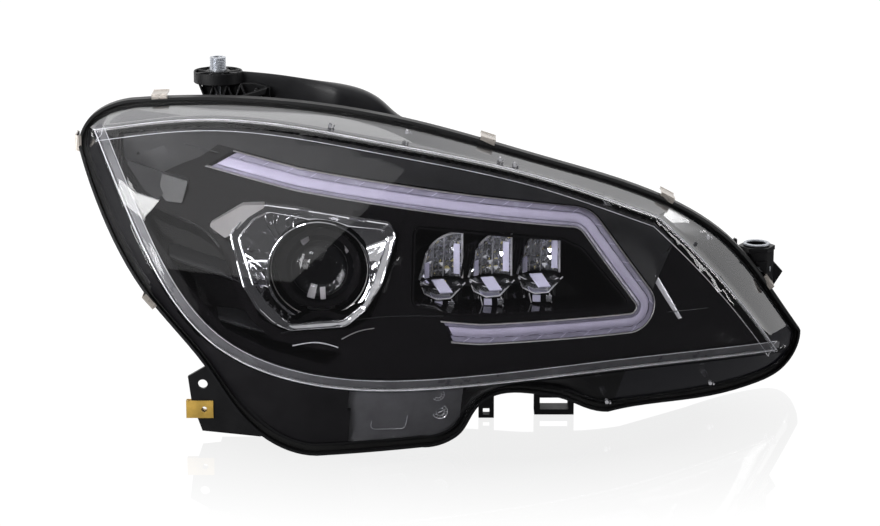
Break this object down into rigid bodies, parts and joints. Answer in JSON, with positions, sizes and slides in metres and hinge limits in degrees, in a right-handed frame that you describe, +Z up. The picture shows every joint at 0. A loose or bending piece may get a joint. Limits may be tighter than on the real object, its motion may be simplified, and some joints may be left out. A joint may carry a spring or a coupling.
{
  "type": "car headlight assembly",
  "caption": "Wrap-round car headlight: clear lens on a black housing, aiming projector, U-shaped running light bar, LED reflector modules, service caps and mounting brackets.",
  "frame": {"origin": "centre of the lamp's bounding box, on the surface that it stands on", "axes": "-Y is the way the lamp shines, +Z is up, +X is outboard, towards the tail of the lens"},
  "size_m": [0.6607, 0.2817, 0.3231],
  "materials": {
    "clear_lens": "clear polycarbonate, hard coated, polished",
    "black_plastic": "fine-grained black polypropylene",
    "dark_trim": "dark metallic satin",
    "gloss_black": "piano black",
    "grey_plastic": "glass-filled grey nylon",
    "white_plastic": "natural acetal",
    "light_bar": "milky lilac-white light guide",
    "chrome": "vacuum-metallised, bright",
    "mirror": "aluminised reflector",
    "projector_glass": "polished optical glass",
    "cast_aluminium": "die cast, satin",
    "steel": "zinc plated",
    "spring_steel": "bright rolled spring steel",
    "zinc": "zinc plated, turned thread",
    "brass": "yellow passivated",
    "rubber": "soft black rubber",
    "circuit_board": "white solder mask",
    "emitter": "phosphor yellow"
  },
  "bodies": {
    "casing": {"outer_lens": "clear_lens", "housing": "black_plastic", "lens_seal": "rubber", "lens_clips": "spring_steel", "inner_bezel": "dark_trim", "led_pocket": "gloss_black", "projector_trim": "chrome", "drl_light_bar": "light_bar", "drl_light_guide": "light_bar", "drl_tray": "dark_trim", "drl_led_boards": "circuit_board", "chrome_blade": "chrome", "led_reflector_1": "chrome", "led_reflector_2": "chrome", "led_reflector_3": "chrome", "led_shelf": "grey_plastic", "led_emitters": "emitter", "led_heatsink": "cast_aluminium", "projector_shroud": "gloss_black", "gimbal_carrier": "black_plastic", "levelling_motor": "black_plastic", "swivel_gearbox": "black_plastic", "motor_seal": "rubber", "main_connector": "black_plastic", "connector_pins": "brass", "breather_vents": "rubber", "xenon_ballast": "cast_aluminium", "ballast_screws": "steel", "outer_mount_bush": "grey_plastic", "upper_mount_arm": "grey_plastic", "outer_mount_ear": "grey_plastic", "bush_nut": "grey_plastic", "lower_mount_bracket": "black_plastic", "speed_nut": "brass", "lower_guide_tabs": "black_plastic"},
    "aim_frame": {"aim_frame": "grey_plastic", "pitch_pins": "steel", "swivel_pins": "steel"},
    "projector": {"projector_lens": "projector_glass", "lens_retainer": "steel", "projector_holder": "cast_aluminium", "projector_reflector": "mirror", "shutter_pin": "steel", "shutter_solenoid": "steel", "xenon_bulb": "projector_glass", "igniter": "cast_aluminium"},
    "shutter": {"cutoff_shutter": "steel"},
    "lock_ring": {"bulb_lock_ring": "grey_plastic"},
    "levelling_rod": {"levelling_rod": "grey_plastic"},
    "swivel_rod": {"swivel_rod": "grey_plastic"},
    "vertical_screw": {"vertical_aim_screw": "white_plastic"},
    "horizontal_screw": {"horizontal_aim_screw": "white_plastic"},
    "main_cap": {"main_service_cap": "black_plastic", "main_cap_seal": "rubber"},
    "small_cap": {"small_service_cap": "black_plastic", "small_cap_seal": "rubber"},
    "height_sleeve": {"adjuster_sleeve": "zinc"}
  },
  "joints": [
    {"name": "aim_vertical", "type": "hinge", "parent": "casing", "child": "aim_frame", "pos_m": [-0.118, -0.0255, 0.158], "axis": [1, 0, 0], "range_deg": [-3, 3]},
    {"name": "aim_horizontal", "type": "hinge", "parent": "aim_frame", "child": "projector", "pos_m": [-0.118, -0.0255, 0.158], "axis": [0, 0, 1], "range_deg": [-3, 3]},
    {"name": "levelling_travel", "type": "slide", "parent": "casing", "child": "levelling_rod", "axis": [0, 1, 0], "range_m": [-0.0045, 0.0045]},
    {"name": "swivel_travel", "type": "slide", "parent": "casing", "child": "swivel_rod", "axis": [0, 1, 0], "range_m": [-0.0027, 0.0027]},
    {"name": "vertical_screw_turn", "type": "hinge", "parent": "casing", "child": "vertical_screw", "pos_m": [-0.154, 0.09, 0.074], "axis": [0, 1, 0], "range_deg": [-440, 440]},
    {"name": "horizontal_screw_turn", "type": "hinge", "parent": "casing", "child": "horizontal_screw", "pos_m": [-0.062, 0.068, 0.2], "axis": [0, 0, 1], "range_deg": [-440, 440]},
    {"name": "shutter_flip", "type": "hinge", "parent": "projector", "child": "shutter", "pos_m": [-0.118, -0.04, 0.132], "axis": [1, 0, 0], "range_deg": [0, 40], "stiffness_Nm_per_rad": 0.02, "springref_deg": -17.19},
    {"name": "lock_ring_turn", "type": "hinge", "parent": "projector", "child": "lock_ring", "pos_m": [-0.118, 0.035, 0.158], "axis": [0, 1, 0], "range_deg": [0, 20]},
    {"name": "main_cap_turn", "type": "hinge", "parent": "casing", "child": "main_cap", "pos_m": [-0.118, 0.112, 0.158], "axis": [0, 1, 0], "range_deg": [-35, 0]},
    {"name": "small_cap_turn", "type": "hinge", "parent": "casing", "child": "small_cap", "pos_m": [0.024, 0.108, 0.14], "axis": [0, 1, 0], "range_deg": [-35, 0]},
    {"name": "height_sleeve_turn", "type": "hinge", "parent": "casing", "child": "height_sleeve", "pos_m": [-0.213, 0.05, 0.305], "axis": [0, 0, 1], "continuous": true}
  ],
  "couplings": [
    {"joint": "levelling_travel", "follows": "aim_vertical", "m_per_rad": 0.084},
    {"joint": "vertical_screw_turn", "follows": "aim_vertical", "ratio": 120},
    {"joint": "swivel_travel", "follows": "aim_horizontal", "m_per_rad": 0.049},
    {"joint": "horizontal_screw_turn", "follows": "aim_horizontal", "ratio": 120}
  ]
}
